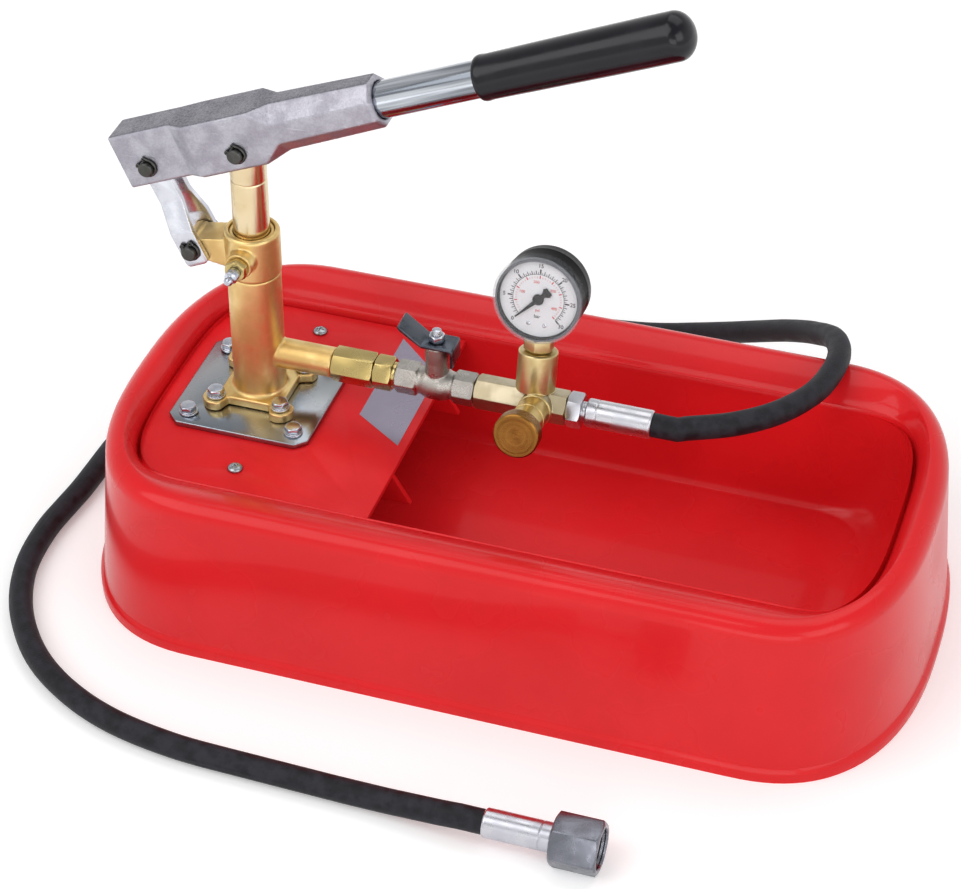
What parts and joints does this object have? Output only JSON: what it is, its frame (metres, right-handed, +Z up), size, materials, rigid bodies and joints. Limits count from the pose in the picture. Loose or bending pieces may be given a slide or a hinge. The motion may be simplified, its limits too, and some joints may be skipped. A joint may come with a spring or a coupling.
{
  "type": "hydrostatic test pump",
  "caption": "Hand-levered plunger pump on an open red water tank, with shut-off valve, pressure gauge, drain valve and a black hose with a swivel nut",
  "frame": {"origin": "centre of the tank's foot, on the ground", "axes": "+X along the tank from the pump to the open basin, -Y to the user whom the gauge faces, +Z up"},
  "size_m": [0.4842, 0.4307, 0.3504],
  "materials": {
    "red_tank": "glossy red moulded shell",
    "red_deck": "red paint, slightly satin",
    "zinc_plate": "bluish zinc plating",
    "cast_brass": "satin cast and turned brass",
    "turned_brass": "bright turned brass",
    "bright_steel": "bright zinc-plated steel",
    "black_pins": "dark phosphated steel",
    "nickel_valve": "nickel over a slightly sandy casting",
    "blued_handle": "blue-black stamped steel",
    "cast_aluminium": "grey casting with a speckled top and brighter edges",
    "gauge_black": "smooth black",
    "grip_black": "glossy black vinyl",
    "hose_rubber": "near-black matt rubber",
    "dial_white": "white printed dial",
    "clear_lens": "clear push-fit window",
    "seal_white": "off-white packing"
  },
  "bodies": {
    "base": {"tank": "red_tank", "deck_plate": "red_deck", "deck_screw_1": "zinc_plate", "deck_screw_2": "zinc_plate", "base_plate": "zinc_plate", "plate_bolt_1": "bright_steel", "plate_bolt_2": "bright_steel", "plate_bolt_3": "bright_steel", "plate_bolt_4": "bright_steel", "flange_bolt_1": "bright_steel", "flange_bolt_2": "bright_steel", "flange_bolt_3": "bright_steel", "flange_bolt_4": "bright_steel", "cylinder_body": "cast_brass", "cylinder_head": "cast_brass", "rod_seal": "seal_white", "gland_ring": "turned_brass", "nipple_bush": "turned_brass", "grease_nipple": "bright_steel", "suction_pipe": "turned_brass", "suction_strainer": "bright_steel", "check_valve_body": "turned_brass", "check_spring": "bright_steel", "union_nipple": "turned_brass", "shutoff_body": "nickel_valve", "manifold": "turned_brass", "gauge_socket": "turned_brass", "gauge_case": "gauge_black", "gauge_dial": "dial_white", "gauge_window": "clear_lens", "bourdon_tube": "turned_brass", "gauge_movement": "turned_brass", "drain_bonnet": "turned_brass", "hose_fitting": "bright_steel", "near_ferrule": "bright_steel", "hose": "hose_rubber", "far_ferrule": "bright_steel", "hose_cone": "bright_steel", "link_foot_pin": "black_pins", "link_foot_pin_clip": "black_pins"},
    "plunger": {"piston_rod": "turned_brass"},
    "lever": {"lever_casting": "cast_aluminium", "handle_tube": "bright_steel", "grip": "grip_black", "plunger_pin": "black_pins", "plunger_pin_clip": "black_pins", "link_top_pin": "black_pins", "link_top_pin_clip": "black_pins"},
    "links": {"link_strap_front": "bright_steel", "link_strap_rear": "bright_steel"},
    "shutoff": {"shutoff_ball": "bright_steel", "shutoff_stem": "bright_steel", "shutoff_handle": "blued_handle", "shutoff_nut": "bright_steel"},
    "pointer": {"gauge_pointer": "gauge_black"},
    "drain_needle": {"drain_spindle": "bright_steel"},
    "drain_wheel": {"drain_knob": "turned_brass"},
    "hose_nut": {"swivel_nut": "bright_steel"},
    "inlet_ball": {"suction_ball": "bright_steel"},
    "outlet_ball": {"check_ball": "bright_steel"}
  },
  "joints": [
    {"name": "plunger_slide", "type": "slide", "parent": "base", "child": "plunger", "axis": [0, 0, 1], "range_m": [-0.025, 0.017]},
    {"name": "lever_hinge", "type": "hinge", "parent": "plunger", "child": "lever", "pos_m": [-0.1475, 0, 0.24], "axis": [0, -1, 0], "range_deg": [-24, 16]},
    {"name": "link_hinge", "type": "hinge", "parent": "base", "child": "links", "pos_m": [-0.177, 0, 0.1745], "axis": [0, -1, 0], "range_deg": [-7, 10]},
    {"name": "shutoff_turn", "type": "hinge", "parent": "base", "child": "shutoff", "pos_m": [-0.0483, 0, 0.1115], "axis": [0, 0, 1], "range_deg": [0, 90]},
    {"name": "pointer_turn", "type": "hinge", "parent": "base", "child": "pointer", "pos_m": [0.0042, 0.01366, 0.17064], "axis": [0, 0.9744, -0.225], "range_deg": [0, 270]},
    {"name": "drain_travel", "type": "slide", "parent": "base", "child": "drain_needle", "axis": [0, -0.9744, 0.225], "range_m": [0, 0.00225]},
    {"name": "drain_turn", "type": "hinge", "parent": "drain_needle", "child": "drain_wheel", "pos_m": [0.0073, -0.03898, 0.1205], "axis": [0, -0.9744, 0.225], "range_deg": [0, 540]},
    {"name": "nut_swivel", "type": "hinge", "parent": "base", "child": "hose_nut", "pos_m": [0.089, -0.2006, 0.0124], "axis": [1, 0, 0], "continuous": true},
    {"name": "inlet_lift", "type": "slide", "parent": "base", "child": "inlet_ball", "axis": [0, 0, 1], "range_m": [0, 0.0022]},
    {"name": "outlet_lift", "type": "slide", "parent": "base", "child": "outlet_ball", "axis": [1, 0, 0], "range_m": [0, 0.001], "stiffness_N_per_m": 60, "deforming": ["check_spring"]}
  ],
  "couplings": [
    {"joint": "plunger_slide", "follows": "lever_hinge", "m_per_rad": 0.059},
    {"joint": "link_hinge", "follows": "lever_hinge", "ratio": -0.36},
    {"joint": "drain_turn", "follows": "drain_travel", "rad_per_m": 4184.1}
  ]
}
